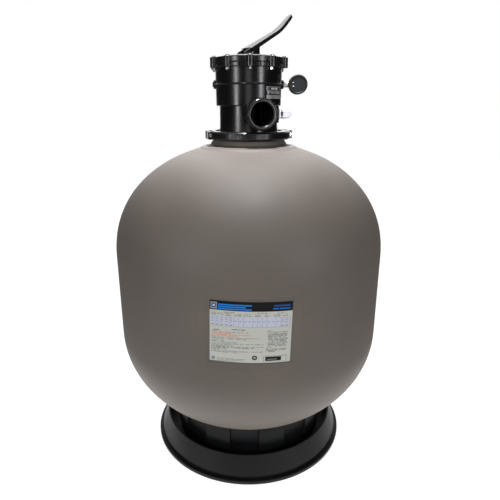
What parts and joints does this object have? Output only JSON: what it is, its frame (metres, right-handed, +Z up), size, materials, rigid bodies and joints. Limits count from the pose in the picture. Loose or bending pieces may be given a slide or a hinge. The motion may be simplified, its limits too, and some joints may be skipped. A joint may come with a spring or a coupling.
{
  "type": "sand filter tank",
  "caption": "Pool sand filter: moulded tank on a ring base with a clamped top selector valve, press-and-turn lever, pressure gauge, sight glass and folding laterals.",
  "frame": {"origin": "on the tank's axis, on the floor under the base", "axes": "+Z up the tank's axis; -Y is the side with the rating label; +X is the side with the gauge and sight glass"},
  "size_m": [0.622, 0.622, 1.0205],
  "materials": {
    "tank_plastic": "moulded, fine grain, satin",
    "base_plastic": "satin",
    "valve_plastic": "semi-gloss",
    "inner_plastic": "satin",
    "pipe_plastic": "satin",
    "rubber": "matte",
    "steel": "bright",
    "brass": "satin",
    "label": "printed film",
    "dial": "printed",
    "pointer": "matte",
    "clear": "clear polycarbonate"
  },
  "bodies": {
    "filter": {"tank": "tank_plastic", "base": "base_plastic", "drain_spud": "base_plastic", "valve_body": "valve_plastic", "valve_cover": "valve_plastic", "clamp_front_half": "valve_plastic", "clamp_rear_half": "valve_plastic", "gauge_case": "valve_plastic", "gauge_port_plug": "valve_plastic", "top_diffuser": "inner_plastic", "lateral_hub": "inner_plastic", "standpipe": "pipe_plastic", "drain_gasket": "rubber", "flange_oring": "rubber", "cover_oring": "rubber", "stem_oring": "rubber", "spider_gasket": "rubber", "sight_glass_gasket": "rubber", "clamp_bolt_left": "steel", "clamp_bolt_right": "steel", "clamp_nut_left": "steel", "clamp_nut_right": "steel", "diverter_spring": "steel", "gauge_case_screw_upper": "steel", "gauge_case_screw_lower": "steel", "cover_screw_01": "steel", "cover_screw_02": "steel", "cover_screw_03": "steel", "cover_screw_04": "steel", "cover_screw_05": "steel", "cover_screw_06": "steel", "cover_screw_07": "steel", "cover_screw_08": "steel", "cover_screw_09": "steel", "cover_screw_10": "steel", "gauge_nipple": "brass", "rating_label": "label", "valve_label": "label", "gauge_dial": "dial", "gauge_lens": "clear", "sight_glass": "clear"},
    "turntable": {"wear_washer": "pipe_plastic"},
    "stem": {"key_stem": "inner_plastic", "diverter": "inner_plastic", "lever_pin": "steel"},
    "lever": {"lever": "valve_plastic"},
    "gauge_pointer": {"gauge_pointer": "pointer"},
    "drain_cap": {"drain_cap": "base_plastic"},
    "lateral_1": {"lateral_1": "pipe_plastic"},
    "lateral_2": {"lateral_2": "pipe_plastic"},
    "lateral_3": {"lateral_3": "pipe_plastic"},
    "lateral_4": {"lateral_4": "pipe_plastic"},
    "lateral_5": {"lateral_5": "pipe_plastic"},
    "lateral_6": {"lateral_6": "pipe_plastic"},
    "lateral_7": {"lateral_7": "pipe_plastic"},
    "lateral_8": {"lateral_8": "pipe_plastic"}
  },
  "joints": [
    {"name": "selector_turn", "type": "hinge", "parent": "filter", "child": "turntable", "pos_m": [0, 0, 0.9233], "axis": [0, 0, 1], "continuous": true},
    {"name": "stem_lift", "type": "slide", "parent": "turntable", "child": "stem", "axis": [0, 0, 1], "range_m": [0, 0.00703], "stiffness_N_per_m": 100, "springref_m": -0.005, "deforming": ["diverter_spring"]},
    {"name": "lever_press", "type": "hinge", "parent": "stem", "child": "lever", "pos_m": [0, 0, 0.9343], "axis": [-0.6157, 0.788, 0], "range_deg": [0, 27]},
    {"name": "gauge_pointer_turn", "type": "hinge", "parent": "filter", "child": "gauge_pointer", "pos_m": [0.1085, 0.0095, 0.868], "axis": [0, -1, 0], "range_deg": [0, 270], "stiffness_Nm_per_rad": 0.0002, "springref_deg": -11.46},
    {"name": "drain_cap_pull", "type": "slide", "parent": "filter", "child": "drain_cap", "axis": [0, 1, 0], "range_m": [0, 0.02]},
    {"name": "lateral_fold_1", "type": "hinge", "parent": "filter", "child": "lateral_1", "pos_m": [0.01913, -0.04619, 0.15], "axis": [-0.9239, -0.3827, 0], "range_deg": [0, 80]},
    {"name": "lateral_fold_2", "type": "hinge", "parent": "filter", "child": "lateral_2", "pos_m": [0.04619, -0.01913, 0.15], "axis": [-0.3827, -0.9239, 0], "range_deg": [0, 80]},
    {"name": "lateral_fold_3", "type": "hinge", "parent": "filter", "child": "lateral_3", "pos_m": [0.04619, 0.01913, 0.15], "axis": [0.3827, -0.9239, 0], "range_deg": [0, 80]},
    {"name": "lateral_fold_4", "type": "hinge", "parent": "filter", "child": "lateral_4", "pos_m": [0.01913, 0.04619, 0.15], "axis": [0.9239, -0.3827, 0], "range_deg": [0, 80]},
    {"name": "lateral_fold_5", "type": "hinge", "parent": "filter", "child": "lateral_5", "pos_m": [-0.01913, 0.04619, 0.15], "axis": [0.9239, 0.3827, 0], "range_deg": [0, 80]},
    {"name": "lateral_fold_6", "type": "hinge", "parent": "filter", "child": "lateral_6", "pos_m": [-0.04619, 0.01913, 0.15], "axis": [0.3827, 0.9239, 0], "range_deg": [0, 80]},
    {"name": "lateral_fold_7", "type": "hinge", "parent": "filter", "child": "lateral_7", "pos_m": [-0.04619, -0.01913, 0.15], "axis": [-0.3827, 0.9239, 0], "range_deg": [0, 80]},
    {"name": "lateral_fold_8", "type": "hinge", "parent": "filter", "child": "lateral_8", "pos_m": [-0.01913, -0.04619, 0.15], "axis": [-0.9239, 0.3827, 0], "range_deg": [0, 80]}
  ],
  "couplings": [
    {"joint": "stem_lift", "follows": "lever_press", "m_per_rad": 0.0149},
    {"joint": "lateral_fold_2", "follows": "lateral_fold_1", "ratio": 1},
    {"joint": "lateral_fold_3", "follows": "lateral_fold_1", "ratio": 1},
    {"joint": "lateral_fold_4", "follows": "lateral_fold_1", "ratio": 1},
    {"joint": "lateral_fold_5", "follows": "lateral_fold_1", "ratio": 1},
    {"joint": "lateral_fold_6", "follows": "lateral_fold_1", "ratio": 1},
    {"joint": "lateral_fold_7", "follows": "lateral_fold_1", "ratio": 1},
    {"joint": "lateral_fold_8", "follows": "lateral_fold_1", "ratio": 1}
  ]
}
